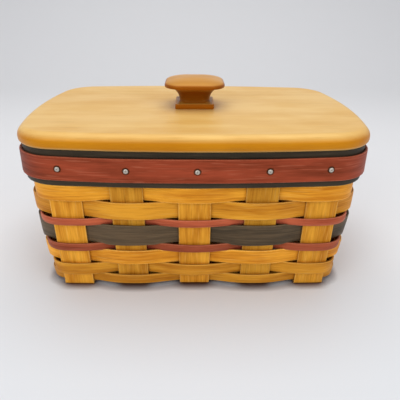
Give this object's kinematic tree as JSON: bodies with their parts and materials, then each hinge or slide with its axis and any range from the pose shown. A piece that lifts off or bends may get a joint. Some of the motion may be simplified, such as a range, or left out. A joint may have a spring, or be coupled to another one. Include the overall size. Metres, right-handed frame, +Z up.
{
  "type": "splint basket",
  "caption": "Rectangular woven splint basket with bowed sides, a tacked two-colour rim band and a lift-off wooden lid with a square knob.",
  "frame": {"origin": "on the table, under the middle of the basket", "axes": "+X to the basket's right end seen from the front, +Y to the back, +Z up; the long sides face -Y and +Y"},
  "size_m": [0.2052, 0.1408, 0.1208],
  "materials": {
    "upright_splint": "satin oiled maple splint",
    "natural_splint": "satin honey-stained maple splint",
    "red_splint": "rust-red dyed splint, satin",
    "green_splint": "grey-green dyed splint, satin",
    "dark_green_band": "dark green dyed splint, satin",
    "red_band": "rust-red dyed splint, satin",
    "nickel_tack": "nickel plated, slightly dull",
    "lid_board": "clear-coated maple, satin",
    "knob": "clear-coated maple, deeper honey, satin",
    "cleat": "bare planed maple",
    "zinc_screw": "zinc plated"
  },
  "bodies": {
    "basket": {"cross_splint_1": "upright_splint", "cross_splint_2": "upright_splint", "cross_splint_3": "upright_splint", "cross_splint_4": "upright_splint", "cross_splint_5": "upright_splint", "long_splint_1": "upright_splint", "long_splint_2": "upright_splint", "long_splint_3": "upright_splint", "weaver_row_1": "natural_splint", "weaver_row_2": "natural_splint", "weaver_row_3": "natural_splint", "weaver_row_4": "red_splint", "weaver_row_5": "green_splint", "weaver_row_6": "red_splint", "weaver_row_7": "natural_splint", "weaver_row_8": "natural_splint", "rim_band_inner": "natural_splint", "rim_band_green": "dark_green_band", "rim_band_red": "red_band", "rim_tack_01": "nickel_tack", "rim_tack_02": "nickel_tack", "rim_tack_03": "nickel_tack", "rim_tack_04": "nickel_tack", "rim_tack_05": "nickel_tack", "rim_tack_06": "nickel_tack", "rim_tack_07": "nickel_tack", "rim_tack_08": "nickel_tack", "rim_tack_09": "nickel_tack", "rim_tack_10": "nickel_tack", "rim_tack_11": "nickel_tack", "rim_tack_12": "nickel_tack", "rim_tack_13": "nickel_tack", "rim_tack_14": "nickel_tack", "rim_tack_15": "nickel_tack", "rim_tack_16": "nickel_tack"},
    "lid": {"lid_board": "lid_board", "lid_knob": "knob", "knob_screw": "zinc_screw", "cleat_left": "cleat", "cleat_right": "cleat", "cleat_screw_1": "zinc_screw", "cleat_screw_2": "zinc_screw", "cleat_screw_3": "zinc_screw", "cleat_screw_4": "zinc_screw"}
  },
  "joints": [
    {"name": "lid_lift", "type": "slide", "parent": "basket", "child": "lid", "axis": [0, 0, 1], "range_m": [0, 0.15]}
  ]
}
